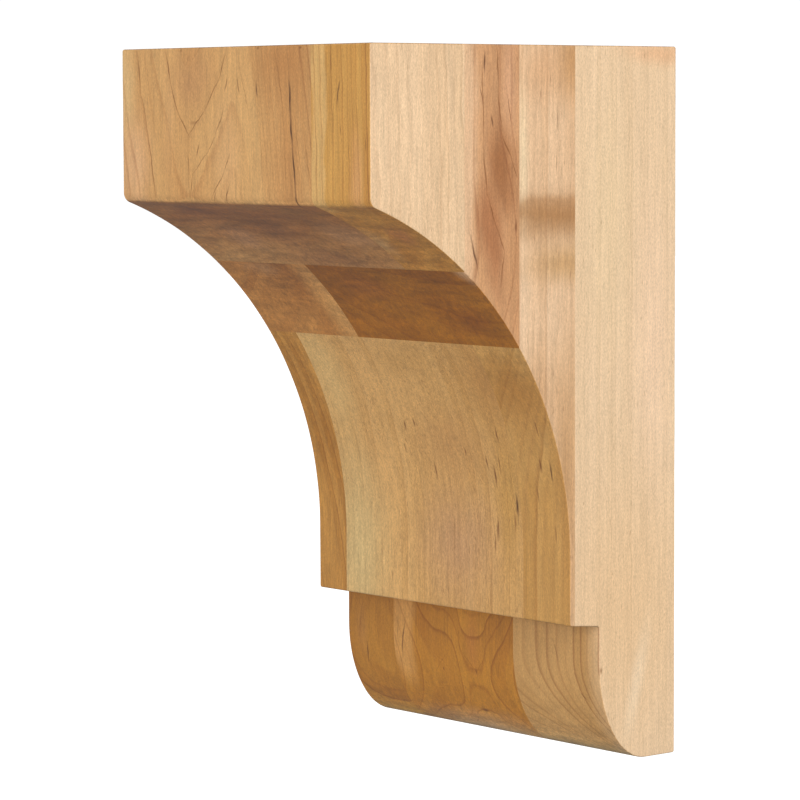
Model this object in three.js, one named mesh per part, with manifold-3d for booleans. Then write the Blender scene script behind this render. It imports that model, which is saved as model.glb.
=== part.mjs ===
import * as THREE from 'three';
import { mergeVertices, toCreasedNormals } from 'three/addons/utils/BufferGeometryUtils.js';
import Module from 'manifold-3d';

// Wooden corbel bracket, glued up from boards and shaped to one profile. Sizes are in millimetres.
// X runs across the width, Y out of the back into the wall and Z up.
// The origin is the centre of the face that lies on the wall.

// Overall size
const corbelWidth = 127;
const corbelDepth = 127;
const corbelHeight = 228.6;

// Square block at the front, over the cove
const frontBlockHeight = 48.8;
const frontCornerRadius = 3.4;

// Cove: a straight foot above the lip, then one arc out to the front block
const coveFootDepth = 46;
const coveFootHeight = 20.7;

// Lip at the foot of the cove, whose underside falls a little towards the wall
const lipHeight = 45.6;
const lipProjection = 12.5;
const lipFall = 1.2;

// Rounded foot under the lip
const footStraightHeight = 11.4;
const soleDepth = 13;

// Sanding that takes the sharpness off the edges
const edgeEase = 0.5;

// Thickness of the glued layers, counted from the wall; the front layer takes the rest of the depth
const wallLayerThickness = 44;
const thirdLayerThickness = 23.4;
const secondLayerThickness = 22.4;

// Widths of the boards in each layer; the widest board of a layer takes the rest of the width
const frontRightBoardWidth = 28.2;
const secondLeftBoardWidth = 47.9;
const thirdLeftBoardWidth = 14.7;
const thirdRightBoardWidth = 22.3;
const wallLeftBoardWidth = 24.5;
const wallRightBoardWidth = 41.3;

// Fineness of the round stretches
const coveSteps = 48;
const footSteps = 24;
const frontCornerSteps = 12;
const edgeSteps = 3;

const layers = [
  {
    name: 'front_layer',
    thickness: corbelDepth - wallLayerThickness - thirdLayerThickness - secondLayerThickness,
    boards: [
      { name: 'left_board', width: corbelWidth - frontRightBoardWidth, color: 0xca9b68 },
      { name: 'right_board', width: frontRightBoardWidth, color: 0xc99a5b },
    ],
  },
  {
    name: 'second_layer',
    thickness: secondLayerThickness,
    boards: [
      { name: 'left_board', width: secondLeftBoardWidth, color: 0xc18f5c },
      { name: 'right_board', width: corbelWidth - secondLeftBoardWidth, color: 0xc58c5e },
    ],
  },
  {
    name: 'third_layer',
    thickness: thirdLayerThickness,
    boards: [
      { name: 'left_board', width: thirdLeftBoardWidth, color: 0xb98450 },
      {
        name: 'middle_board',
        width: corbelWidth - thirdLeftBoardWidth - thirdRightBoardWidth,
        color: 0xd6b27c,
      },
      { name: 'right_board', width: thirdRightBoardWidth, color: 0xdcae80 },
    ],
  },
  {
    name: 'wall_layer',
    thickness: wallLayerThickness,
    boards: [
      { name: 'left_board', width: wallLeftBoardWidth, color: 0xbf8752 },
      {
        name: 'middle_board',
        width: corbelWidth - wallLeftBoardWidth - wallRightBoardWidth,
        color: 0xcf9a63,
      },
      { name: 'right_board', width: wallRightBoardWidth, color: 0xe6c69c },
    ],
  },
];

const wasm = await Module();
wasm.setup();

// A point of the side profile, from its depth off the wall and its height above the sole
function profilePoint(depth, height) {
  return new THREE.Vector2(-depth, height - corbelHeight / 2);
}

// Points along an arc of a circle or an ellipse
function arcPoints(centre, radiusY, radiusZ, startAngle, sweep, steps) {
  const arc = new THREE.EllipseCurve(
    centre.x, centre.y, radiusY, radiusZ, startAngle, startAngle + sweep, sweep < 0,
  );
  return arc.getPoints(steps);
}

// Turn from one direction to another by the shorter way round
function shortTurn(from, to) {
  const turn = to - from;
  return Math.atan2(Math.sin(turn), Math.cos(turn));
}

// Arc that rounds the corner between two straight edges
function roundedCorner(before, corner, after, radius, steps) {
  const back = before.clone().sub(corner).normalize();
  const ahead = after.clone().sub(corner).normalize();
  const halfAngle = Math.acos(back.dot(ahead)) / 2;
  const centre = back.clone().add(ahead).normalize();
  centre.multiplyScalar(radius / Math.sin(halfAngle)).add(corner);
  const edgeLength = radius / Math.tan(halfAngle);
  const startAngle = back.multiplyScalar(edgeLength).add(corner).sub(centre).angle();
  const endAngle = ahead.multiplyScalar(edgeLength).add(corner).sub(centre).angle();
  return arcPoints(centre, radius, radius, startAngle, shortTurn(startAngle, endAngle), steps);
}

// Quarter ellipse of the foot, from the flat sole up to its straight front
function footCurve(footDepth, footRoundHeight) {
  const centre = profilePoint(soleDepth, footRoundHeight);
  const quarter = Math.PI / 2;
  return arcPoints(centre, footDepth - soleDepth, footRoundHeight, -quarter, -quarter, footSteps);
}

// Arc of the cove and the arc that rounds the lower edge of the front block.
// The cove starts upright at the top of its straight foot and passes through the block's lower edge,
// and the corner arc touches both the cove and the block's front.
function coveCurve() {
  const springHeight = lipHeight + coveFootHeight;
  const reach = corbelDepth - coveFootDepth;
  const rise = corbelHeight - frontBlockHeight - springHeight;
  const coveRadius = (reach * reach + rise * rise) / (2 * reach);
  const coveCentre = profilePoint(coveFootDepth + coveRadius, springHeight);
  const cornerDepth = corbelDepth - frontCornerRadius;
  const centreDistance = coveRadius + frontCornerRadius;
  const across = coveFootDepth + coveRadius - cornerDepth;
  const up = Math.sqrt(centreDistance * centreDistance - across * across);
  const cornerCentre = profilePoint(cornerDepth, springHeight + up);
  const endAngle = Math.atan2(up, across);
  return [
    ...arcPoints(coveCentre, coveRadius, coveRadius, 0, endAngle, coveSteps),
    ...arcPoints(
      cornerCentre, frontCornerRadius, frontCornerRadius,
      endAngle - Math.PI, -endAngle, frontCornerSteps,
    ).slice(1),
  ];
}

// Side profile of the whole bracket, once round its outline.
// Its corners are rounded a little more than the side edges, so that the eased edge has an arc to follow.
function sideProfile() {
  const cornerRadius = 1.5 * edgeEase;
  const footDepth = coveFootDepth - lipProjection;
  const footTop = lipHeight - lipFall;
  const soleEdge = profilePoint(soleDepth, 0);
  const wallBottom = profilePoint(0, 0);
  const innerCorner = profilePoint(footDepth, footTop);
  const lipCorner = profilePoint(coveFootDepth, lipHeight);
  const coveSpring = profilePoint(coveFootDepth, lipHeight + coveFootHeight);
  const frontTop = profilePoint(corbelDepth, corbelHeight);
  const wallTop = profilePoint(0, corbelHeight);
  const footFront = profilePoint(footDepth, footTop - footStraightHeight);
  const blockFront = profilePoint(corbelDepth, corbelHeight - frontBlockHeight);
  return new THREE.Shape([
    ...roundedCorner(wallTop, wallBottom, soleEdge, cornerRadius, edgeSteps),
    ...footCurve(footDepth, footTop - footStraightHeight),
    ...roundedCorner(footFront, innerCorner, lipCorner, cornerRadius, edgeSteps),
    ...roundedCorner(innerCorner, lipCorner, coveSpring, cornerRadius, edgeSteps),
    ...coveCurve(),
    ...roundedCorner(blockFront, frontTop, wallTop, cornerRadius, edgeSteps),
    ...roundedCorner(frontTop, wallTop, wallBottom, cornerRadius, edgeSteps),
  ]);
}

// Closed solid from a geometry, with the vertices that its faces share merged
function solidFrom(geometry) {
  geometry.deleteAttribute('normal');
  geometry.deleteAttribute('uv');
  const merged = mergeVertices(geometry, 1e-4);
  return new wasm.Manifold(new wasm.Mesh({
    numProp: 3,
    vertProperties: new Float32Array(merged.attributes.position.array),
    triVerts: new Uint32Array(merged.index.array),
  }));
}

// The profile carried across the whole width, with both side edges eased
function shapedBlank() {
  const geometry = new THREE.ExtrudeGeometry(sideProfile(), {
    depth: corbelWidth - 2 * edgeEase,
    steps: 1,
    bevelEnabled: true,
    bevelThickness: edgeEase,
    bevelSize: edgeEase,
    bevelOffset: -edgeEase,
    bevelSegments: edgeSteps,
  });
  geometry.translate(0, 0, edgeEase - corbelWidth / 2);
  geometry.applyMatrix4(new THREE.Matrix4().makeBasis(
    new THREE.Vector3(0, 1, 0),
    new THREE.Vector3(0, 0, 1),
    new THREE.Vector3(1, 0, 0),
  ));
  return solidFrom(geometry);
}

// Rough board before shaping: a box between its glue faces, longer than the finished piece
function roughBoard(left, right, back, front) {
  const geometry = new THREE.BoxGeometry(right - left, back - front, 2 * corbelHeight);
  geometry.translate((left + right) / 2, (back + front) / 2, 0);
  return solidFrom(geometry);
}

// Triangle mesh of a finished board
function boardGeometry(solid) {
  const { vertProperties, triVerts } = solid.getMesh();
  const geometry = new THREE.BufferGeometry();
  geometry.setAttribute('position', new THREE.BufferAttribute(new Float32Array(vertProperties), 3));
  geometry.setIndex(new THREE.BufferAttribute(new Uint32Array(triVerts), 1));
  return toCreasedNormals(geometry, Math.PI / 6);
}

const blank = shapedBlank();
const corbel = new THREE.Group();
corbel.name = 'corbel_bracket';

let layerFront = -corbelDepth;
for (const layer of layers) {
  const layerBack = layerFront + layer.thickness;
  let boardLeft = -corbelWidth / 2;
  for (const board of layer.boards) {
    const boardRight = boardLeft + board.width;
    const rough = roughBoard(boardLeft, boardRight, layerBack, layerFront);
    const mesh = new THREE.Mesh(
      boardGeometry(blank.intersect(rough)),
      new THREE.MeshStandardMaterial({ color: board.color, roughness: 0.55, metalness: 0 }),
    );
    mesh.name = `${layer.name}_${board.name}`;
    corbel.add(mesh);
    boardLeft = boardRight;
  }
  layerFront = layerBack;
}

export default corbel;
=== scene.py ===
from functools import partial
from math import acos, atan2, ceil, cos, pi, radians, sin, sqrt, tan

import bmesh
import bpy
from mathutils import Matrix, Vector, noise


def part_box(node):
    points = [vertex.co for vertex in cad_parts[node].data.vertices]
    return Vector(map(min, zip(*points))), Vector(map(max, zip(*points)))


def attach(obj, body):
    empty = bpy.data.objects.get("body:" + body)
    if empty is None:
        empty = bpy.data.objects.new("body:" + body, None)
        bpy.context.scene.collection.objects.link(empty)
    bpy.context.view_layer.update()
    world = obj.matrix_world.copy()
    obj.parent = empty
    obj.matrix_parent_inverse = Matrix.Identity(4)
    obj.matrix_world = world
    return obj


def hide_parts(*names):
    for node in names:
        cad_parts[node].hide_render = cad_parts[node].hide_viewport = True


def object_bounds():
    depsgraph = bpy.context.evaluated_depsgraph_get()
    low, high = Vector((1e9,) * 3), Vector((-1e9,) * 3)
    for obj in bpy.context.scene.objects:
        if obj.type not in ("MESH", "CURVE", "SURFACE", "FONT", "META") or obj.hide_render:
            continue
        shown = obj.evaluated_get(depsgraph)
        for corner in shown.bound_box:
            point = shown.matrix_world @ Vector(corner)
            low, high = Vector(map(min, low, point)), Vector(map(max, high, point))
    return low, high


# Wooden corbel bracket: ten maple boards glued into one block, shaped to one profile and sanded.
# Every size below is in millimetres and every angle in degrees, unless a note says otherwise.

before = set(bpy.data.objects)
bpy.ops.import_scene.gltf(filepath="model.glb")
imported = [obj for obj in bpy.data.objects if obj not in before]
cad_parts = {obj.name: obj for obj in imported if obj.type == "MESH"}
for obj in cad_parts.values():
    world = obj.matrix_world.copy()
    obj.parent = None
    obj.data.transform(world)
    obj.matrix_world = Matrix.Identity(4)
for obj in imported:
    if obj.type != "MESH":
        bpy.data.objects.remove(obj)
cadLow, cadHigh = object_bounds()
mm = 0.001
print("frame loaded:", len(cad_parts), "boards")


# Camera: stands to the right of the bracket, a little above its middle, with a long lens

camera = {
    "place": (884.1, -800.3, 92.4),
    "turn": 50.167,      # from the front towards the right-hand side
    "lookDown": 4.571,
    "roll": 0.206,
    "sensor": 36.0,
    "focus": 3550.4,     # distance from lens to image in pixels of an 800 pixel frame
    "framePixels": 800,
    "clip": (0.05, 100.0),    # nearest and farthest thing seen, in metres
}


def makeCamera(settings):
    data = bpy.data.cameras.new("camera")
    data.sensor_width = settings["sensor"]
    data.lens = settings["focus"] * settings["sensor"] / settings["framePixels"]
    data.clip_start, data.clip_end = settings["clip"]
    turn, down, roll = (radians(settings[key]) for key in ("turn", "lookDown", "roll"))
    back = Vector((sin(turn) * cos(down), -cos(turn) * cos(down), sin(down)))
    right = Vector((cos(turn), sin(turn), 0.0))
    up = back.cross(right)
    rolledRight = right * cos(roll) - up * sin(roll)
    rolledUp = up * cos(roll) + right * sin(roll)
    rig = bpy.data.objects.new("camera", data)
    bpy.context.scene.collection.objects.link(rig)
    axes = Matrix((rolledRight, rolledUp, back)).transposed().to_4x4()
    rig.matrix_world = Matrix.Translation(Vector(settings["place"]) * mm) @ axes
    bpy.context.scene.camera = rig


makeCamera(camera)
print("camera placed")


# Shape: one side profile, carried across the width with its side edges sanded soft

shape = {
    "frontBlockHeight": 48.8,
    "frontCornerRadius": 3.4,
    "coveFootDepth": 46.0,
    "coveFootHeight": 20.7,
    "lipHeight": 45.6,
    "lipProjection": 12.5,
    "lipFall": 1.2,
    "footStraightHeight": 11.4,
    "soleDepth": 13.0,
    "edgeEase": 0.5,
    "easeWander": 0.3,         # how much of the easing the sandpaper varies
    "easeWanderLength": 14.0,
    "pointSpacing": 4.0,       # along the straight stretches
    "coveSteps": 96,
    "footSteps": 40,
    "cornerSteps": 14,
    "edgeSteps": 5,
}

corbelWidth = (cadHigh.x - cadLow.x) / mm
corbelDepth = -cadLow.y / mm
corbelHeight = (cadHigh.z - cadLow.z) / mm


# A point of the profile from its depth off the wall and its height above the sole
def profilePoint(depth, height):
    return Vector((-depth, height - corbelHeight / 2))


def arcPoints(centre, radiusY, radiusZ, start, sweep, steps):
    angles = [start + sweep * step / steps for step in range(steps + 1)]
    return [centre + Vector((radiusY * cos(a), radiusZ * sin(a))) for a in angles]


def roundedCorner(before, corner, after, radius, steps):
    back = (before - corner).normalized()
    ahead = (after - corner).normalized()
    half = acos(back.dot(ahead)) / 2
    centre = corner + (back + ahead).normalized() * (radius / sin(half))
    first = corner + back * (radius / tan(half)) - centre
    last = corner + ahead * (radius / tan(half)) - centre
    start = atan2(first.y, first.x)
    turn = atan2(last.y, last.x) - start
    return arcPoints(centre, radius, radius, start, atan2(sin(turn), cos(turn)), steps)


# The cove's arc, upright at its foot, then the arc that rounds the front block's lower edge
def coveCurve(form):
    spring = form["lipHeight"] + form["coveFootHeight"]
    reach = corbelDepth - form["coveFootDepth"]
    rise = corbelHeight - form["frontBlockHeight"] - spring
    radius = (reach * reach + rise * rise) / (2 * reach)
    corner = form["frontCornerRadius"]
    across = form["coveFootDepth"] + radius - corbelDepth + corner
    up = sqrt((radius + corner) ** 2 - across ** 2)
    end = atan2(up, across)
    cove = arcPoints(profilePoint(form["coveFootDepth"] + radius, spring), radius, radius,
                     0, end, form["coveSteps"])
    rounding = arcPoints(profilePoint(corbelDepth - corner, spring + up), corner, corner,
                         end - pi, -end, form["cornerSteps"])
    return cove + rounding[1:]


# Long straight stretches get extra points, so that the sanded edge can wander along them
def withStraightsDivided(points, spacing):
    result = []
    for here, ahead in zip(points, points[1:] + points[:1]):
        pieces = max(1, ceil((ahead - here).length / spacing))
        result += [here.lerp(ahead, piece / pieces) for piece in range(pieces)]
    return result


def sideProfile(form):
    corner = 1.5 * form["edgeEase"]
    steps = form["edgeSteps"]
    footDepth = form["coveFootDepth"] - form["lipProjection"]
    footTop = form["lipHeight"] - form["lipFall"]
    footRound = footTop - form["footStraightHeight"]
    wallBottom, wallTop = profilePoint(0, 0), profilePoint(0, corbelHeight)
    frontTop = profilePoint(corbelDepth, corbelHeight)
    innerCorner = profilePoint(footDepth, footTop)
    lipCorner = profilePoint(form["coveFootDepth"], form["lipHeight"])
    spring = profilePoint(form["coveFootDepth"], form["lipHeight"] + form["coveFootHeight"])
    points = [
        *roundedCorner(wallTop, wallBottom, profilePoint(form["soleDepth"], 0), corner, steps),
        *arcPoints(profilePoint(form["soleDepth"], footRound), footDepth - form["soleDepth"],
                   footRound, -pi / 2, -pi / 2, form["footSteps"]),
        *roundedCorner(profilePoint(footDepth, footRound), innerCorner, lipCorner, corner, steps),
        *roundedCorner(innerCorner, lipCorner, spring, corner, steps),
        *coveCurve(form),
        *roundedCorner(profilePoint(corbelDepth, 0), frontTop, wallTop, corner, steps),
        *roundedCorner(frontTop, wallTop, wallBottom, corner, steps),
    ]
    return withStraightsDivided(points, form["pointSpacing"])


# Direction into the wood at each point of the profile, longer where the outline turns
def inwardDirections(points):
    result = []
    for before, here, after in zip(points[-1:] + points[:-1], points, points[1:] + points[:1]):
        edgeIn = (here - before).normalized()
        edgeOut = (after - here).normalized()
        normalIn = Vector((edgeIn.y, -edgeIn.x))
        normalOut = Vector((edgeOut.y, -edgeOut.x))
        result.append((normalIn + normalOut) / (1 + normalIn.dot(normalOut)))
    return result


# Easing of one side edge at one point of the profile, as uneven as hand sanding leaves it
def easeAt(form, point, side):
    wander = noise.noise(Vector((point.x, point.y, 40.0 * side)) / form["easeWanderLength"])
    return form["edgeEase"] * (1 + form["easeWander"] * wander)


def shapedBlank(form):
    points = sideProfile(form)
    inward = inwardDirections(points)
    steps = form["edgeSteps"]
    blank = bmesh.new()
    rows = []
    for side in (-1, 1):
        turns = [pi / 2 * step / steps for step in range(steps + 1)]
        for turn in (turns if side < 0 else reversed(turns)):
            row = []
            for point, direction in zip(points, inward):
                ease = easeAt(form, point, side)
                across = side * (corbelWidth / 2 - ease * (1 - cos(turn)))
                place = point + direction * ease * (1 - sin(turn))
                row.append(blank.verts.new((across * mm, place.x * mm, place.y * mm)))
            rows.append(row)
    for row, after in zip(rows, rows[1:]):
        for i in range(len(row)):
            j = (i + 1) % len(row)
            blank.faces.new((row[i], row[j], after[j], after[i]))
    blank.faces.new(list(reversed(rows[0])))
    blank.faces.new(rows[-1])
    bmesh.ops.recalc_face_normals(blank, faces=blank.faces)
    return blank


# Cuts the blank along a glue plane, keeps the side that the plane faces away from, and closes it
def cutAlong(board, point, normal):
    everything = board.verts[:] + board.edges[:] + board.faces[:]
    cut = bmesh.ops.bisect_plane(board, geom=everything, dist=1e-7, plane_co=point,
                                 plane_no=normal, clear_outer=True)
    rim = [item for item in cut["geom_cut"] if isinstance(item, bmesh.types.BMEdge)]
    for edge in rim:
        edge.smooth = False
    bmesh.ops.contextual_create(board, geom=rim)


def boardMesh(blank, nodeName):
    board = blank.copy()
    low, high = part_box(nodeName)
    for axis in (0, 1):
        for corner, outer, sign in ((low, cadLow, -1), (high, cadHigh, 1)):
            if abs(corner[axis] - outer[axis]) > mm:
                normal = Vector((0, 0, 0))
                normal[axis] = sign
                cutAlong(board, corner, normal)
    for face in board.faces:
        face.smooth = True
    mesh = bpy.data.meshes.new(nodeName + "_wood")
    board.to_mesh(mesh)
    board.free()
    return mesh


# Wood: maple, planed and sanded, with no finish on it. Close, fine grain without open pores, thin
# brown lines where each year's growth ends, short dark mineral streaks, and a faint silky sheen.

# A colour as a person reads it off a chart, turned into the linear values that the shader wants
def linear(hexColour):
    channels = [int(hexColour[i:i + 2], 16) / 255 for i in (1, 3, 5)]
    return (*[c / 12.92 if c <= 0.04045 else ((c + 0.055) / 1.055) ** 2.4 for c in channels], 1.0)


# Adds a node with its settings, links or fills its inputs, and gives back the output asked for
def addNode(tree, kind, inputs=None, out=0, **settings):
    added = tree.nodes.new("ShaderNode" + kind)
    for name, value in settings.items():
        setattr(added, name, value)
    for key, value in (inputs or {}).items():
        if isinstance(value, bpy.types.NodeSocket):
            tree.links.new(value, added.inputs[key])
        else:
            added.inputs[key].default_value = value
    return added.outputs[out]


# What all ten boards have in common; each board's own dictionary changes what differs
maple = {
    "seed": 0.0,
    # The front and side colours are lit and shaded copies of one wood: the side's paler ones are partly
    # painted light, the front's deeper, more saturated ones partly painted shade
    "front": ("#dcae79", "#c9965f"),   # pale and deep wood where the board shows its front
    "side": ("#ebcaa4", "#dcb78e"),    # and where it shows its side
    "hidden": ("#dfb784", "#cda16b"),  # and at the back and on top, half mixed with its front
    "line": "#a2692f",                 # end of a year's growth, as a stain over the wood
    "streak": "#7a4a22",               # flecks
    "ringTurn": 90.0,         # direction across the rings: 0 along X, 90 along Y
    "ringCentre": (0.0, -60.0),
    "ringBow": 90.0,          # how far off the heart of the tree lies
    "ringSpacing": 2.2,       # a year's growth
    "ringPhase": 0.0,
    "ringLean": 0.05,         # how far the rings lean for each millimetre of height
    "leanHeights": (-200.0, 200.0),    # and between which heights they do
    "bend": None,             # own curve of the rings where it isn't a plain arc
    "swells": [],             # places where a growth pushes the rings aside
    "calm": [],               # places where the rings hardly show
    "waver": 0.8,             # broad unevenness of the rings
    "waverWidth": 28.0,
    "waverLength": 110.0,
    "ripple": 0.25,           # fine unevenness of the rings
    "rippleWidth": 5.0,
    "rippleLength": 16.0,
    "lineStrength": 0.5,
    "lineWidth": 0.5,
    "lineFloor": 0.1,         # strength of the faintest line beside the boldest
    "sideLines": 1.0,         # strength of the lines on the side beside those on the front
    "coveLines": 0.3,         # and on undersides
    "toneStrength": 0.9,      # how much the pale and the deep wood part
    "fibre": 0.19,
    "coveFibre": 0.42,        # on steep cuts, where the ends of the bundles show
    "smear": 0.30,            # shading across the board that sanding leaves on undersides
    "smearWidth": 22.0,
    "smearDepth": 4.0,
    "fibreWidth": 0.5,        # real fibres are 0.02 wide, too fine to show, so these are bundles
    "fibreLength": 16.0,
    "fleck": 0.35,
    "fleckWidth": 0.45,
    "fleckLength": 4.0,
    "fleckAmount": 0.30,      # 0 none, 0.5 everywhere
    "speckle": 0.15,          # ends of the pores
    "speckleWidth": 0.4,      # real ones 0.05 wide, drawn as coarser dots that still look like dust
    "speckleLength": 0.9,
    "crossCutAndShade": "#b4aca6",    # stain on undersides, cut across the fibres, which drink more light; partly painted shade, and painted cool light on the wall boards
    "endGrain": "#d2bda2",    # and on top
    "cloudSize": 16.0,        # how the patches below are torn at their edges
    "cloudPush": 9.0,
    "patches": [],            # shaded or paler wood
    "streaks": [],            # dark mineral streaks
    "roughness": (0.50, 0.62),
    "bump": 0.25,
    "bumpHeight": 0.05,
    "ior": 1.5,
}


def bendPoints(wood):
    if wood["bend"]:
        return wood["bend"]
    bow = wood["ringBow"]
    return [(v, sqrt(bow ** 2 + v ** 2) - bow) for v in range(-128, 129, 32)]


# Soft blob in millimetres, 1 at its middle and 0 from its rim outwards, leaning as it rises
def softBlob(add, place, blob):
    spot = add("VectorMath", {0: place, 1: blob["at"]}, operation="SUBTRACT")
    slant = blob.get("slant", (0.0, 0.0))
    if slant != (0.0, 0.0):
        rise = add("SeparateXYZ", {0: spot}, out=2)
        lean = add("VectorMath", {0: [-slant[0], -slant[1], 0.0], 3: rise}, operation="SCALE")
        spot = add("VectorMath", {0: spot, 1: lean}, operation="ADD")
    spot = add("VectorMath", {0: spot, 1: [1 / s for s in blob["size"]]}, operation="MULTIPLY")
    reach = add("VectorMath", {0: spot}, out="Value", operation="LENGTH")
    return add("MapRange", {0: reach, 1: 1.0, 2: blob.get("core", 0.0), 3: 0.0, 4: 1.0},
               interpolation_type="SMOOTHSTEP")


def woodMaterial(name, wood):
    material = bpy.data.materials.new(name)
    material.use_nodes = True
    tree = material.node_tree
    tree.nodes.clear()
    add = partial(addNode, tree)

    def blend(amount, first, second, kind="MIX"):
        return add("Mix", {0: amount, 6: first, 7: second}, out=2, data_type="RGBA", blend_type=kind)

    def ranged(value, low, high, toLow, toHigh, **settings):
        return add("MapRange", {0: value, 1: low, 2: high, 3: toLow, 4: toHigh}, **settings)

    def maths(operation, first, second, third=0.0):
        return add("Math", {0: first, 1: second, 2: third}, operation=operation)

    def vectors(operation, first, second):
        return add("VectorMath", {0: first, 1: second}, operation=operation)

    def stretched(value, x, y, z):
        return vectors("MULTIPLY", value, [1 / x, 1 / y, 1 / z])

    def noiseAt(value, detail, roughness=0.5, scale=1.0, **more):
        return add("TexNoise", {"Vector": value, "Scale": scale, "Detail": detail,
                                "Roughness": roughness, **more})

    seedStep = (31.7, 17.3, 53.9)   # far enough that no two boards show the same figure
    swing = 4                       # brings the noise's usual stray of a quarter up to one
    fibreStray, smearStray = 0.3, 0.2    # how far those two noises usually stray
    place = add("VectorMath", {0: add("TexCoord", out="Object"), 3: 1 / mm}, operation="SCALE")
    seeded = vectors("ADD", place, [part * wood["seed"] for part in seedStep])
    normalX, normalY, normalZ = add("SeparateXYZ", {0: add("TexCoord", out="Normal")}).node.outputs
    sideways = ranged(maths("MULTIPLY", normalX, normalX), 0.25, 0.75, 0.0, 1.0)
    steep = maths("MULTIPLY", normalZ, normalZ)

    # rings: distance across the rings, bent round the heart, with broad and fine unevenness
    turn = radians(wood["ringTurn"])
    centred = vectors("SUBTRACT", place, [*wood["ringCentre"], 0.0])
    across = add("VectorMath", {0: centred, 1: [cos(turn), sin(turn), 0.0]}, out="Value",
                 operation="DOT_PRODUCT")
    height = ranged(add("SeparateXYZ", {0: place}, out=2), *wood["leanHeights"] * 2)
    across = maths("MULTIPLY_ADD", height, wood["ringLean"], across)
    along = add("VectorMath", {0: centred, 1: [sin(turn), -cos(turn), 0.0]}, out="Value",
                operation="DOT_PRODUCT")
    points = bendPoints(wood)
    leftEnd, rightEnd = points[0][0], points[-1][0]
    lowest = min(bent for _, bent in points)
    highest = max(bent for _, bent in points) + 0.001
    curve = tree.nodes.new("ShaderNodeFloatCurve")
    knots = curve.mapping.curves[0].points
    for _ in points[2:]:
        knots.new(0.5, 0.5)
    for knot, (spot, bent) in zip(knots, points):
        knot.location = ((spot - leftEnd) / (rightEnd - leftEnd), (bent - lowest) / (highest - lowest))
    curve.mapping.update()
    tree.links.new(ranged(along, leftEnd, rightEnd, 0.0, 1.0), curve.inputs["Value"])
    bent = ranged(curve.outputs[0], 0.0, 1.0, lowest, highest, clamp=False)
    broadPlace = stretched(seeded, wood["waverWidth"], wood["waverWidth"], wood["waverLength"])
    broad = noiseAt(broadPlace, 2.0, 0.45)
    finePlace = stretched(seeded, wood["rippleWidth"], wood["rippleWidth"], wood["rippleLength"])
    fine = noiseAt(finePlace, 3.0, 0.55)
    depth = maths("ADD", across, bent)
    depth = maths("MULTIPLY_ADD", broad, swing * wood["waver"], depth)
    depth = maths("MULTIPLY_ADD", fine, swing * wood["ripple"], depth)
    depth = maths("SUBTRACT", depth, swing / 2 * (wood["waver"] + wood["ripple"]))
    for swell in wood["swells"]:
        depth = maths("MULTIPLY_ADD", softBlob(add, place, swell), swell["push"], depth)
    rings = maths("MULTIPLY_ADD", depth, 1 / wood["ringSpacing"], wood["ringPhase"])
    ring = maths("FLOOR", rings, 0.0)
    chance = add("TexWhiteNoise", {"W": maths("ADD", ring, 7.13 * wood["seed"] + 0.5)},
                 noise_dimensions="1D")

    # the line that ends a year's growth darkens slowly and stops short
    width = wood["lineWidth"] / wood["ringSpacing"]
    profile = add("ValToRGB", {0: maths("FRACT", rings, 0.0)}).node
    profile.color_ramp.interpolation = "EASE"
    stops = profile.color_ramp.elements
    stops[0].position, stops[1].position = 0.0, 1.0
    stops[0].color = stops[1].color = (0.35, 0.35, 0.35, 1.0)
    for spot, value in ((0.4 * width, 0.0), (1 - 2.2 * width, 0.04), (1 - 0.4 * width, 1.0)):
        stops.new(spot).color = (value, value, value, 1.0)
    lines = maths("MULTIPLY", profile.outputs[0], ranged(chance, 0.2, 0.95, wood["lineFloor"], 1.0))
    lines = maths("MULTIPLY", lines, ranged(normalZ, -0.7, -0.3, wood["coveLines"], 1.0))
    lines = maths("MULTIPLY", lines, ranged(sideways, 0.0, 1.0, 1.0, wood["sideLines"]))
    for blob in wood["calm"]:
        left = ranged(softBlob(add, place, blob), 0.0, 1.0, 1.0, blob["left"])
        lines = maths("MULTIPLY", lines, left)
    lines = maths("MULTIPLY", lines, wood["lineStrength"])

    # tone: drifts between pale and deep wood from ring to ring and along the board
    drift = noiseAt(broadPlace, 3.0, 0.6, 0.8, Distortion=0.4)
    ringTone = maths("MULTIPLY_ADD", chance, 0.25, drift)
    spread = wood["toneStrength"] / 2
    tone = ranged(ringTone, 0.45, 0.85, 0.5 - spread, 0.5 + spread)
    # front and side colours: the same wood, the side painted paler as lit, the front deeper and more
    # saturated as painted shade
    front = blend(tone, *[linear(colour) for colour in wood["front"]])
    side = blend(tone, *[linear(colour) for colour in wood["side"]])
    colour = blend(sideways, front, side)
    # at the back and on top half the front's colour, and so half its painted shade, stays mixed in
    unseen = maths("MAXIMUM", ranged(normalY, 0.3, 0.8, 0.0, 1.0),
                   ranged(normalZ, 0.3, 0.8, 0.0, 1.0))
    hidden = blend(tone, *[linear(colour) for colour in wood["hidden"]])
    colour = blend(unseen, colour, blend(0.5, front, hidden))

    # patches: shaded or paler wood that this one board shows, torn at its edges like a cloud
    size, push = wood["cloudSize"], wood["cloudPush"]
    swirl = add("TexNoise", {"Vector": stretched(seeded, size, size, 1.6 * size), "Scale": 1.0,
                             "Detail": 3.0, "Roughness": 0.55}, out="Color")
    swirl = vectors("SUBTRACT", swirl, [0.5, 0.5, 0.5])
    clouded = vectors("ADD", place, vectors("MULTIPLY", swirl, [push, push, 2 * push]))
    for shade in wood["patches"]:
        amount = maths("MULTIPLY", softBlob(add, clouded, shade), shade["strength"])
        colour = blend(amount, colour, linear(shade["colour"]))
    colour = blend(lines, colour, linear(wood["line"]), "MULTIPLY")

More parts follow.
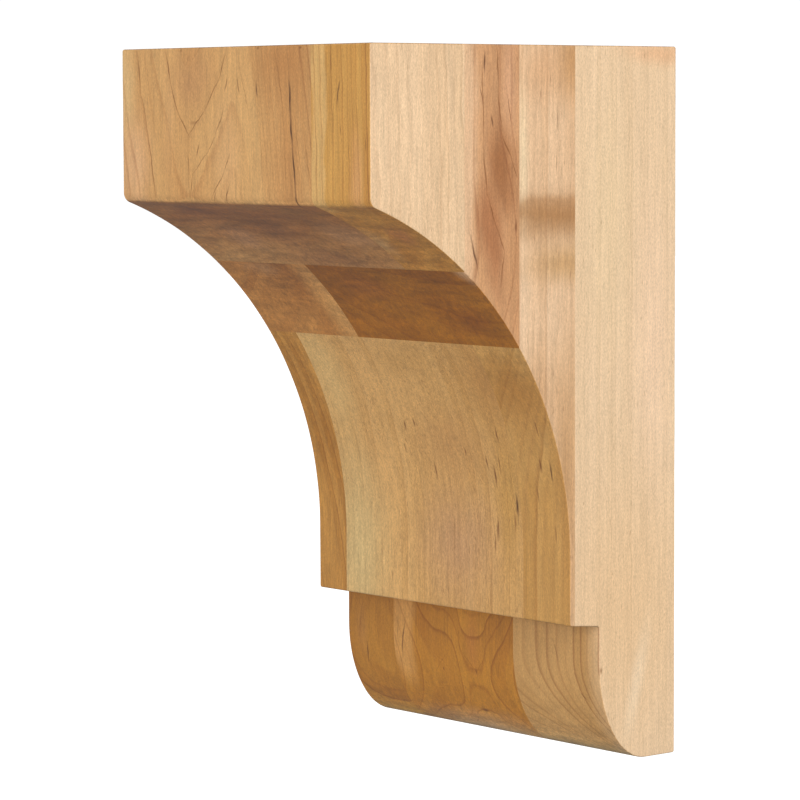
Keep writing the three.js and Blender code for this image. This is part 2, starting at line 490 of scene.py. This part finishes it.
    # fibres: long thin bundles that run with the grain, coarse ones and fine ones
    wobble = maths("MULTIPLY", maths("SUBTRACT", fine, 0.5), 3.0)
    wobbled = add("CombineXYZ", {0: wobble, 1: wobble})
    grainPlace = vectors("ADD", seeded, wobbled)
    thick, long = wood["fibreWidth"], wood["fibreLength"]
    coarse = noiseAt(stretched(grainPlace, 3.4 * thick, 3.4 * thick, 1.8 * long), 2.0)
    silk = noiseAt(stretched(grainPlace, thick, thick, long), 4.0, 0.7)
    fibres = maths("MULTIPLY_ADD", coarse, 0.6, silk)
    depthOfFibre = ranged(steep, 0.05, 0.5, wood["fibre"] / fibreStray, wood["coveFibre"] / fibreStray)
    shading = maths("MULTIPLY_ADD", maths("SUBTRACT", fibres, 0.8), depthOfFibre, 1.0)
    colour = blend(1.0, colour, shading, "MULTIPLY")
    smearPlace = stretched(seeded, wood["smearWidth"], wood["smearDepth"], wood["smearDepth"])
    smears = noiseAt(smearPlace, 4.0, 0.65, Distortion=0.5)
    depthOfSmear = ranged(normalZ, -0.75, -0.4, wood["smear"] / smearStray, 0.0)
    shading = maths("MULTIPLY_ADD", maths("SUBTRACT", smears, 0.5), depthOfSmear, 1.0)
    colour = blend(1.0, colour, shading, "MULTIPLY")

    # speckle: paler and darker dots
    dotPlace = stretched(seeded, wood["speckleWidth"], wood["speckleWidth"], wood["speckleLength"])
    shading = ranged(noiseAt(dotPlace, 2.0, 0.8), 0.3, 0.7, 1 - wood["speckle"], 1 + wood["speckle"])
    colour = blend(1.0, colour, shading, "MULTIPLY")

    # flecks: short dark dashes, thicker in some places than in others
    fleckPlace = stretched(grainPlace, wood["fleckWidth"], wood["fleckWidth"], wood["fleckLength"])
    fleckSum = maths("MULTIPLY_ADD", noiseAt(broadPlace, 1.0, 0.5, 2.6), 0.25, noiseAt(fleckPlace, 1.0))
    dark = ranged(fleckSum, 1.13 - wood["fleckAmount"], 1.21 - wood["fleckAmount"], 0.0, wood["fleck"],
                  interpolation_type="SMOOTHSTEP")
    colour = blend(dark, colour, linear(wood["streak"]))
    streaked = vectors("ADD", place, wobbled)
    for dash in wood["streaks"]:
        amount = maths("MULTIPLY", softBlob(add, streaked, dash), dash["strength"])
        colour = blend(amount, colour, linear(dash["colour"]))

    # cut across the fibres, on top, below and high in the cove, the wood looks darker; below and high in the
    # cove the stain is also painted shade
    upwards = ranged(normalZ, -0.1, 0.1, 0.0, 1.0)
    stainAndShade = blend(upwards, linear(wood["crossCutAndShade"]), linear(wood["endGrain"]))
    colour = blend(ranged(steep, 0.4, 0.8, 0.0, 1.0), colour, stainAndShade, "MULTIPLY")

    roughness = ranged(silk, 0.3, 0.7, *wood["roughness"])
    relief = maths("MULTIPLY_ADD", silk, 0.6, coarse)
    bump = add("Bump", {"Strength": wood["bump"], "Distance": wood["bumpHeight"] * mm,
                        "Height": relief})
    shader = add("BsdfPrincipled", {"Base Color": colour, "Roughness": roughness, "Normal": bump,
                                    "IOR": wood["ior"], "Metallic": 0.0})
    output = tree.nodes.new("ShaderNodeOutputMaterial")
    tree.links.new(shader, output.inputs["Surface"])
    return material


# A dark streak in the wood: thin one way, up to a few millimetres deep, and leaning as it rises
def streak(at, length, width=0.7, slant=(0.0, 0.0), strength=0.8, colour="#6c3a12"):
    thin = width / 2
    size = (3.0, thin, length / 2) if at[0] > 63 else (thin, 3.0, length / 2)
    return {"at": at, "size": size, "slant": slant, "strength": strength, "colour": colour}


# One bold growth line, followed point by point as a chain of streaks
def growthLine(points, width=0.6, strength=0.7, colour="#75430f"):
    chain = []
    for (x, y, z), (endX, endY, endZ) in zip(points, points[1:]):
        rise = endZ - z
        slant = ((endX - x) / rise, (endY - y) / rise)
        middle = ((x + endX) / 2, (y + endY) / 2, (z + endZ) / 2)
        wider = sqrt(1 + slant[0] ** 2 + slant[1] ** 2)
        chain.append(streak(middle, 1.5 * abs(rise), width * wider, slant, strength, colour))
    return chain


def onFront(*points):
    return [(x, -corbelDepth, z) for x, z in points]


def onSide(*points):
    return [(corbelWidth / 2, y, z) for y, z in points]


def onFoot(*points):
    return [(x, -33.0, z) for x, z in points]


# A soft patch of darker or paler wood
def patch(at, size, colour, strength=0.7, slant=(0.0, 0.0), core=0.0):
    return {"at": at, "size": size, "slant": slant, "strength": strength, "colour": colour, "core": core}


# The boards, from the front to the wall and from left to right

# Each board's front and side colours carry painted light and shade as well as its own tone, and its underside
# stain carries painted shade
boards = {
    "front_layer_left_board": {
        "slot": "front_left_wood",
        "wood": {
            "seed": 1.0, "front": ("#d5a568", "#c69054"), "side": ("#dcb287", "#cc9c6c"),
            "crossCutAndShade": "#b59c80",
            "ringCentre": (0.0, -127.0), "ringLean": 0.095, "ringSpacing": 1.88, "ringPhase": 0.554,
            "bend": [(-66, -12.8), (-61.7, -10.5), (-59.5, -9.4), (-54.9, -8.05), (-53.2, -6.94),
                     (-49.1, -5.5), (-45.6, -3.9), (-39.5, -2.4), (-37, -1.6), (-32.5, -0.5),
                     (-27.5, 0.0), (-24, -0.25), (-18, -1.0), (-13.5, -1.55), (-9, -2.2), (-4, -2.75),
                     (-1.3, -2.3), (4.7, -0.4), (11, 3.2), (17.6, 7.7), (23, 11.6), (32, 15.5), (37, 18.5)],
            "waver": 0.10, "ripple": 0.10, "lineStrength": 0.34, "lineWidth": 0.28, "lineFloor": 0.3,
            "coveLines": 0.0, "fleckAmount": 0.26,
            "calm": [
                {"at": (-41, -127, 76), "size": (9, 9, 20), "left": 0.1, "core": 0.3},
                {"at": (-57, -127, 100), "size": (8, 9, 26), "left": 0.3},
                {"at": (12, -127, 90), "size": (22, 9, 60), "left": 0.45, "core": 0.4},
                {"at": (-28, -127, 106), "size": (6, 9, 12), "left": 0.2},
            ],
            "patches": [
                patch((-26, -127, 106), (17, 9, 16), "#c18d59", 0.8),
                patch((20, -127, 108), (20, 9, 20), "#b77e45", 0.85),
                patch((24, -127, 80), (15, 9, 60), "#bd8348", 0.8),
                patch((-57, -127, 78), (13, 8, 28), "#dfaf7f", 0.8),
                patch((-61, -127, 104), (8, 8, 24), "#d8b27a", 0.8),
                patch((-8, -127, 80), (12, 8, 26), "#d9a972", 0.7),
                patch((-38, -127, 92), (6, 8, 26), "#cf9e66", 0.7),
                patch((-35, -119, 62), (16, 8, 8), "#b07c50", 0.8, core=0.2),
                patch((-32, -103, 54), (14, 12, 12), "#cfa276", 0.8, core=0.2),
                patch((-10, -108, 56), (14, 20, 16), "#a87a50", 0.85),
                patch((6, -93, 47), (32, 9, 10), "#a2744a", 0.9),
                patch((26, -107, 56), (17, 13, 12), "#d2a87c", 0.85, core=0.3),
                patch((10, -117, 61), (18, 6, 6), "#b28054", 0.7),
            ],
            "streaks": [
                streak((-24.5, -127, 90.5), 2.0, 7.0, (0.0, 0.0), 0.45, "#8a5a30"),
                *growthLine(onFront((-39.5, 113), (-37, 103.1), (-32.5, 92.6), (-27.5, 86.6)), 0.75, 0.9),
                *growthLine(onFront((-27.5, 86.6), (-18.6, 94.8), (-11.5, 104), (-7.6, 112.6)), 0.65, 0.8),
                *growthLine(onFront((-8.6, 96.4), (-13.3, 86.1), (-17.9, 81.1), (-25.3, 74.5),
                                    (-27.3, 67.3)), 0.6, 0.7),
                *growthLine(onFront((-5.7, 81.2), (-8.9, 75.2), (-15.3, 66.9)), 0.6, 0.75),
                *growthLine(onFront((-54.9, 113), (-53.2, 100.5), (-49.1, 87.1), (-45.6, 67)), 0.6, 0.75),
                *growthLine(onFront((-27.4, 86), (-27.6, 66)), 0.5, 0.6),
                *growthLine(onFront((-61.7, 82), (-59.5, 66)), 0.4, 0.45),
                *growthLine(onFront((17.6, 113), (19.7, 101.5), (21.7, 89.3), (22.9, 68)), 0.4, 0.5),
                *growthLine(onFront((-1.3, 111.4), (4.7, 90.9)), 0.4, 0.45),
                *growthLine(onFront((9.5, 88), (11.1, 66)), 0.4, 0.45),
                *growthLine(onFront((26.5, 94.1), (32.2, 68.2)), 0.4, 0.5),
                *growthLine(onFront((33.1, 113), (34.7, 96)), 0.4, 0.5),
                *growthLine(onFront((24.2, 104), (24.8, 92), (25.8, 84), (27.0, 70), (27.6, 60)),
                            1.5, 1.0, "#361402"),
                streak((8.1, -127, 100.8), 8, 0.9, (-0.1, 0.0), 0.9, "#4a2a12"),
                streak((-1.2, -127, 102.3), 8, 0.8, (-0.24, 0.0), 0.85),
                streak((-7.6, -127, 103), 7, 0.8, (0.24, 0.0), 0.8),
                streak((-22.7, -127, 82), 6.5, 0.8, (0.4, 0.0), 0.85),
                streak((-7.6, -127, 68), 9, 0.8, (0.42, 0.0), 0.85),
                streak((-14, -127, 67), 6, 0.6, (0.6, 0.0), 0.7),
                streak((19.6, -127, 101), 20, 0.4, (-0.2, 0.0), 0.6),
                streak((33.5, -127, 78), 30, 0.4, (-0.16, 0.0), 0.5),
                streak((-27.3, -127, 111), 4, 0.6),
                streak((-47.2, -127, 111.5), 6, 0.5),
                streak((-31.5, -127, 113.4), 1.6, 1.8, strength=0.6),
                streak((9, -127, 113.5), 1.4, 2.0, strength=0.6),
                streak((30, -127, 113.4), 1.4, 2.2, strength=0.7),
            ],
        },
    },
    "front_layer_right_board": {
        "slot": "front_right_wood",
        "wood": {
            "seed": 2.0, "front": ("#d09b4d", "#b97e34"), "side": ("#e6c59e", "#dab68c"),
            "crossCutAndShade": "#e0d4be", "ringTurn": 40.0, "ringCentre": (50.0, -110.0), "ringLean": 0.01,
            "lineStrength": 0.55, "lineWidth": 0.35, "waver": 1.4, "ripple": 0.5,
            "sideLines": 0.25, "coveLines": 0.0,
            "patches": [
                patch((38.2, -127, 85), (4.6, 9, 90), "#d8ab68", 0.95, core=0.6),
                patch((57, -127, 75), (5, 8, 22), "#dba368", 0.7),
                patch((52, -106, 56), (12, 12, 9), "#ba7a48", 0.8),
                patch((38, -100, 53), (8, 14, 9), "#d0a878", 0.8),
            ],
            "streaks": [
                streak((45, -127, 108.5), 10, 0.7, (-0.05, 0.0), 0.85),
                streak((46, -127, 92), 16, 0.4, (0.1, 0.0), 0.5),
                streak((48.7, -127, 99.5), 12, 0.9, (0.12, 0.0), 0.9, "#4a2a12"),
                streak((49.5, -127, 88), 4, 0.8, (0.1, 0.0), 0.6),
                streak((53, -127, 78), 30, 0.35, (0.03, 0.0), 0.5),
                streak((61.3, -127, 84), 6, 0.7),
                streak((60, -127, 106), 10, 0.4, strength=0.5),
            ],
        },
    },
    "second_layer_left_board": {
        "slot": "second_left_wood",
        "wood": {
            "seed": 3.0, "front": ("#bf8544", "#a2672b"), "side": ("#d4a272", "#be8a5a"),
            "crossCutAndShade": "#c0ac98",
            "ringTurn": 60.0, "ringCentre": (-40.0, -80.0), "ringSpacing": 2.6, "lineStrength": 0.2,
            "coveLines": 0.0, "toneStrength": 0.7,
            "patches": [
                patch((-40, -78, 33), (16, 14, 14), "#a26a2e", 0.6),
                patch((-42, -88, 43), (14, 6, 6), "#c99866", 0.6),
                patch((-17, -78, 32), (12, 40, 60), "#d29c5a", 0.85),
            ],
        },
    },
    "second_layer_right_board": {
        "slot": "second_right_wood",
        "wood": {
            "seed": 4.0, "front": ("#ae711b", "#92550b"), "side": ("#d09e70", "#be895b"),
            "toneStrength": 0.5, "crossCutAndShade": "#b8a284",
            "ringTurn": 82.0, "ringCentre": (63.5, -82.2), "ringLean": -0.012, "ringSpacing": 5.0,
            "ringPhase": 0.88, "waver": 0.35, "waverWidth": 16.0, "waverLength": 50.0,
            "lineFloor": 0.3, "lineStrength": 0.3, "coveLines": 0.6, "cloudPush": 7.0,
            "swells": [{"at": (63.5, -73, 54), "size": (40, 16, 40), "push": -9.0}],
            "patches": [
                patch((63.5, -90, 80), (8, 7, 120), "#dcb48c", 0.95, core=0.3),
                patch((63.5, -78.5, 102), (9, 4, 36), "#bf8e62", 0.75),
                patch((63.5, -78.5, 56), (9, 6.5, 26), "#a66c42", 0.9, (0.0, -0.15), 0.2),
                patch((63.5, -74, 76), (9, 9, 25), "#9a6236", 0.9, (0.0, -0.1), 0.1),
                patch((63.5, -69, 48), (9, 6, 26), "#c08c5e", 0.8),
                patch((63.5, -71, 105), (9, 6, 26), "#d2a078", 0.8),
                patch((5, -82, 38), (18, 9, 9), "#a06024", 0.6),
                patch((48, -73, 28), (18, 9, 9), "#84480e", 0.75),
            ],
            "streaks": [
                *growthLine(onSide((-82.4, 113.4), (-82.1, 82.3), (-80.5, 68), (-76.5, 57.5), (-73.6, 50.5),
                                   (-75.1, 40)), 0.7, 0.8),
                *growthLine(onSide((-77.1, 113.5), (-76.4, 102.4), (-74.7, 87.3), (-70.7, 78.7), (-68, 73.5)),
                            0.7, 0.75),
                streak((63.5, -81.5, 109), 11, 1.0, (0.0, -0.06), 0.9, "#5a3216"),
                streak((63.5, -82.8, 98), 9, 0.8, (0.0, -0.18), 0.85),
                streak((63.5, -78.5, 90.8), 5.5, 0.9, (0.0, -0.16), 0.9, "#5a3216"),
                streak((63.5, -71.4, 94.5), 14, 0.7, (0.0, -0.24), 0.85),
                streak((63.5, -86.2, 50.5), 16, 1.2, (0.0, -0.3), 0.95, "#5a3216"),
                streak((63.5, -68.9, 58.5), 7, 0.9),
            ],
        },
    },
    "third_layer_left_board": {
        "slot": "third_left_wood",
        "wood": {
            "seed": 5.0, "front": ("#c28c43", "#a46c25"),
            "side": ("#cf9c66", "#b98450"), "ringTurn": 20.0, "ringCentre": (-56.0, -56.0),
            "ringLean": 0.2, "ringSpacing": 2.4, "lineStrength": 0.3, "lineWidth": 0.3, "fibre": 0.3,
            "crossCutAndShade": "#c8b8a4", "coveLines": 0.8,
            "streaks": [
                streak((-52.5, -47, -38), 14, 0.6, (0.1, 0.0), 0.5),
                streak((-57, -50, -20), 10, 0.5, (0.2, 0.0), 0.5),
            ],
        },
    },
    "third_layer_middle_board": {
        "slot": "third_middle_wood",
        "wood": {
            "seed": 6.0, "front": ("#d2a364", "#c19151"), "lineStrength": 0.15, "crossCutAndShade": "#dccfc0",
            "ringTurn": 5.0, "ringCentre": (0.0, -56.0), "ringLean": 0.0, "ringSpacing": 3.0,
            "fibre": 0.20, "fibreLength": 10.0, "fleckAmount": 0.36, "speckle": 0.20, "coveFibre": 0.30,
            "smear": 0.15,
            "patches": [
                patch((-43, -60, 6), (16, 30, 40), "#d6b072", 0.8),
                patch((-42, -46, -54), (24, 12, 54), "#ceb37b", 0.8),
                patch((46, -60, 8), (28, 16, 28), "#b27d40", 0.7),
                patch((4, -62, 14), (30, 9, 10), "#be9052", 0.6),
                patch((12, -50, -14), (26, 12, 24), "#bf8e54", 0.8),
                patch((10, -46, -48), (30, 12, 30), "#bd9067", 0.7),
                patch((36, -47, -30), (8, 12, 40), "#c09048", 0.7),
            ],
            "streaks": [
                streak((-9.9, -52.6, -9), 6, 1.1, (0.1, 0.3), 0.9),
                streak((-4.9, -53, -7.7), 5, 1.0, (0.1, 0.3), 0.9),
                streak((-12.3, -50.2, -16.7), 4, 0.9),
                streak((1.2, -48.5, -23.4), 8, 1.2, (-0.1, -0.2), 0.9),
                streak((17.8, -50.3, -16.2), 4, 0.9),
                streak((27.8, -49.6, -18.8), 7, 1.0),
                streak((30.8, -48.6, -23.1), 11, 1.4, (0.0, -0.2), 0.9),
                streak((33.5, -49.6, -19), 9, 1.0, (0.0, -0.2)),
                streak((39.9, -47, -32.2), 11, 1.7, (0.0, -0.1), 1.0, "#4a2408"),
                streak((38.5, -46.6, -38), 10, 1.0),
                streak((29.1, -46.2, -40.3), 12, 1.3, strength=0.9),
                streak((28, -46.2, -46), 10, 1.0),
                streak((36, -52, -9), 8, 0.9, (0.0, -0.3)),
                streak((7.8, -46.2, -44), 18, 0.6, (0.08, 0.0), 0.7),
                streak((-20, -46.2, -50), 12, 0.5, strength=0.4),
            ],
        },
    },
    "third_layer_right_board": {
        "slot": "third_right_wood",
        "wood": {
            "seed": 7.0, "front": ("#cc9d5a", "#b8843c"), "side": ("#e4c19b", "#d6ac81"),
            "crossCutAndShade": "#c8bcaa", "lineStrength": 0.25, "ringTurn": 60.0, "ringCentre": (52.0, -56.0),
            "ringLean": 0.0, "sideLines": 0.6, "cloudPush": 4.0,
            "patches": [
                patch((63.5, -66.5, 82), (9, 4, 34), "#e6cba2", 0.9),
                patch((63.5, -50, 60.5), (9, 50, 12), "#a67644", 0.85),
                patch((63.5, -48, 63.6), (9, 60, 5), "#a87644", 0.45, core=0.4),
                patch((63.5, -48, 46), (9, 26, 10), "#c0945f", 0.8),
                patch((63.5, -45, 110), (9, 15, 20), "#c0905e", 0.95),
                patch((63.5, -58, 106), (9, 12, 16), "#d4a67a", 0.8),
                patch((62.9, -48, -30), (6, 10, 80), "#b27c38", 0.6),
                patch((52, -60, 4), (26, 18, 30), "#a66d26", 0.7),
            ],
            "streaks": [
                streak((63.5, -51.6, 91.7), 12, 0.5, strength=0.7),
                streak((63.5, -51.4, 78.2), 14, 0.5, strength=0.7),
                streak((63.5, -58.4, 98.8), 5, 0.6, strength=0.7),
                streak((63.5, -54.5, 104), 6, 0.4, strength=0.5),
                streak((63.5, -46, 42), 6, 0.5, strength=0.5),
                streak((63.5, -61, 30), 8, 0.4, strength=0.4),
                streak((53.2, -49.9, -17.5), 8, 1.2, strength=0.9),
                streak((58.2, -49.4, -19.7), 11, 1.4, strength=0.95, colour="#4e2a0c"),
                streak((50.5, -48, -28), 7, 1.0),
                streak((57, -46.6, -40), 8, 1.0),
                streak((56, -54, -6), 8, 0.9, (0.0, -0.4)),
            ],
        },
    },
    "wall_layer_left_board": {
        "slot": "wall_left_wood",
        "wood": {
            "seed": 8.0, "front": ("#be8430", "#a4671e"),
            "side": ("#cd985e", "#b78048"), "ringTurn": 95.0, "ringCentre": (-50.0, -33.5),
            "ringLean": 0.10, "leanHeights": (-120.0, -64.0), "ringPhase": 0.1, "ringBow": 30.0,
            # the bluish underside stain of the wall boards is painted cool light from below
            "crossCutAndShade": "#e4f4ff", "lineStrength": 0.4, "lineWidth": 0.3, "lineFloor": 0.3,
            "coveLines": 0.8,
            "patches": [
                patch((-56, -33, -84), (5, 8, 16), "#b47c3a", 0.7),
            ],
            "streaks": [
                streak((-54.1, -32.5, -91), 11, 1.0, (0.18, -0.18), 0.9, "#5a3216"),
                streak((-57, -33, -82), 10, 0.6, (0.05, 0.0), 0.6),
            ],
        },
    },
    "wall_layer_middle_board": {
        "slot": "wall_middle_wood",
        "wood": {
            # the bluish underside stain of the wall boards is painted cool light from below
            "seed": 9.0, "front": ("#c1832a", "#a4661a"), "lineStrength": 0.45, "crossCutAndShade": "#e4f4ff",
            "ringCentre": (0.0, -33.5), "ringLean": 0.26, "leanHeights": (-120.0, -64.0),
            "ringSpacing": 2.0, "ringPhase": 0.40,
            "bend": [(-42, -13.0), (-30, -7.6), (-20, -4.6), (-10.6, -3.9), (-6, -2.2), (-4.5, -1.0),
                     (-2, -0.25), (2.8, 0.0), (6.8, -0.45), (9.2, -1.7), (12.6, -2.8), (17.2, -4.2),
                     (24, -7.5)],
            "waver": 0.1, "ripple": 0.14, "lineFloor": 0.4, "lineWidth": 0.22, "coveLines": 0.8,
            "swells": [{"at": (2.8, -32, -94), "size": (7, 12, 4.5), "push": -0.5}],
            "patches": [
                patch((-34, -34, -80), (8, 8, 40), "#cd944e", 0.95, core=0.4),
                patch((2, -34, -80), (7, 8, 16), "#b67430", 0.7),
                patch((-2, -20, -112), (44, 12, 13), "#c49c74", 0.6),
            ],
            "streaks": [
                streak((-33.8, -33.2, -84.5), 18, 1.1, (0.2, 0.0), 0.9, "#5a3216"),
                streak((-36.5, -33.2, -80), 12, 0.6, (0.1, 0.0), 0.6),
                *growthLine(onFoot((-5.9, -76), (-4.7, -84.8), (2.8, -92.1)), 0.5, 0.5),
                *growthLine(onFoot((2.8, -92.1), (6.8, -87.7), (9.2, -79.6), (7.3, -72.4)), 0.5, 0.5),
                *growthLine(onFoot((17.1, -70), (17.2, -83.5), (12.6, -93.7)), 0.4, 0.4),
                *growthLine(onFoot((-10.4, -70), (-10.8, -86.7), (-20.6, -95.3)), 0.4, 0.4),
                streak((-14.3, -32.2, -92.7), 2, 0.8),
                streak((2.7, -32.6, -91.6), 3, 0.8, strength=0.7),
                streak((1.5, -27, -105.4), 1.6, 5.0),
            ],
        },
    },
    "wall_layer_right_board": {
        "slot": "wall_right_wood",
        "wood": {
            "seed": 10.0, "front": ("#ca9b5e", "#b68648"), "side": ("#e8c8a2", "#dcbc94"),
            # the bluish underside stain of the wall boards is painted cool light from below
            "crossCutAndShade": "#e4f4ff", "lineWidth": 0.25, "lineFloor": 0.25, "cloudPush": 3.0,
            "ringTurn": 112.0, "ringCentre": (63.5, -20.0), "ringLean": 0.0, "ringSpacing": 1.4,
            "bend": [(-48, -1.6), (-38, 0.2), (-28, 1.6), (-18, 2.2), (-8, 1.4), (0, -0.8), (12, -4.5)],
            "waver": 0.3, "ripple": 0.12, "sideLines": 0.14, "coveLines": 0.8, "fibre": 0.11,
            "toneStrength": 0.7,
            "patches": [
                patch((63.5, -30, 60), (9, 16, 60), "#e2c59a", 0.6),
                patch((63.5, -10, 20), (9, 14, 70), "#edcaa8", 0.6),
                patch((63.5, -22, -66), (9, 44, 70), "#e0bb8e", 0.8),
                patch((63.5, -17, -90), (9, 5, 28), "#edd2ae", 0.7, (0.0, 0.24)),
                patch((63.5, -6, 113), (9, 26, 6), "#e0b084", 0.8),
            ],
            "streaks": [
                streak((54.7, -32, -93.5), 4, 0.9, (-1.2, 0.0), 0.8),
                streak((43, -33.3, -80), 12, 0.6, (-0.35, 0.0), 0.5),
                streak((63.5, -21, 86), 14, 0.4, strength=0.35),
                *growthLine(onSide((-19.6, 113), (-19.9, 0), (-19.6, -113)), 0.5, 0.22),
                streak((63.5, -18, 102), 8, 0.4, strength=0.3),
                streak((63.5, -33.2, -84.2), 3.5, 1.2, strength=0.8, colour="#8a5a2a"),
                streak((63.5, -28, -40), 16, 0.4, strength=0.25),
            ],
        },
    },
}


def makeBoards():
    blank = shapedBlank(shape)
    for nodeName, board in boards.items():
        piece = bpy.data.objects.new(nodeName + "_wood", boardMesh(blank, nodeName))
        bpy.context.scene.collection.objects.link(piece)
        piece.data.materials.append(woodMaterial(nodeName + "_maple", {**maple, **board["wood"]}))
        evener = piece.modifiers.new("even shading on the flats", "WEIGHTED_NORMAL")
        evener.keep_sharp = True
        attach(piece, "root")
        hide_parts(nodeName)
    blank.free()


makeBoards()
print("boards made:", len(boards))


# Studio: white paper floor well below the bracket, a dim even sky and two large soft lamps

studio = {
    "floorDrop": 1500.0,       # the bracket hangs in the air as it would on a wall
    "floorSize": 60000.0,
    "floorColour": "#fafafa",
    "floorRoughness": 0.9,
    "floorGlow": 1.0,
    "paperStrength": 1.1,      # of the white behind the bracket, which only the camera sees
    "skyColour": "#ffffff",
    "skyStrength": 0.34,
    "belowStrength": 0.45,     # of the light from below
    "horizonBlur": 0.25,       # how softly the two meet, as a share of straight up
    "lamps": [
        {"name": "key", "place": (2000, -600, 900), "size": 1500, "power": 43.0, "colour": "#ffffff"},
        {"name": "front", "place": (-300, -2500, 100), "size": 1500, "power": 25.4, "colour": "#ffffff"},
    ],
}


def makeFloor(settings):
    half = settings["floorSize"] * mm / 2
    mesh = bpy.data.meshes.new("floor")
    level = cadLow.z - settings["floorDrop"] * mm
    corners = [(x * half, y * half, level) for x, y in ((-1, -1), (1, -1), (1, 1), (-1, 1))]
    mesh.from_pydata(corners, [], [(0, 1, 2, 3)])
    floor = bpy.data.objects.new("floor", mesh)
    bpy.context.scene.collection.objects.link(floor)
    material = bpy.data.materials.new("pale matt paper, lit from below")
    material.use_nodes = True
    shader = material.node_tree.nodes["Principled BSDF"]
    shader.inputs["Base Color"].default_value = linear(settings["floorColour"])
    shader.inputs["Roughness"].default_value = settings["floorRoughness"]
    shader.inputs["Emission Color"].default_value = linear(settings["floorColour"])
    shader.inputs["Emission Strength"].default_value = settings["floorGlow"]
    mesh.materials.append(material)
    floor.visible_diffuse = False
    floor.visible_glossy = False


def makeSky(settings):
    world = bpy.data.worlds.new("studio")
    bpy.context.scene.world = world
    world.use_nodes = True
    tree = world.node_tree
    tree.nodes.clear()
    add = partial(addNode, tree)
    up = add("SeparateXYZ", {0: add("TexCoord", out="Generated")}, out=2)
    blur = settings["horizonBlur"]
    strength = add("MapRange", {0: up, 1: -blur, 2: blur, 3: settings["belowStrength"],
                                4: settings["skyStrength"]})
    light = add("Background", {"Color": linear(settings["skyColour"]), "Strength": strength})
    paper = add("Background", {"Color": linear(settings["floorColour"]),
                               "Strength": settings["paperStrength"]})
    seen = add("MixShader", {0: add("LightPath", out="Is Camera Ray"), 1: light, 2: paper})
    output = tree.nodes.new("ShaderNodeOutputWorld")
    tree.links.new(seen, output.inputs["Surface"])


def makeLamps(settings):
    for lamp in settings["lamps"]:
        data = bpy.data.lights.new(lamp["name"], "AREA")
        data.shape = "SQUARE"
        data.size = lamp["size"] * mm
        data.energy = lamp["power"]
        data.color = linear(lamp["colour"])[:3]
        rig = bpy.data.objects.new(lamp["name"], data)
        bpy.context.scene.collection.objects.link(rig)
        rig.location = Vector(lamp["place"]) * mm
        rig.rotation_mode = "QUATERNION"
        rig.rotation_quaternion = rig.location.to_track_quat("Z", "Y")


makeFloor(studio)
makeSky(studio)
makeLamps(studio)
bpy.context.scene.view_settings.view_transform = "Standard"
print("studio set")
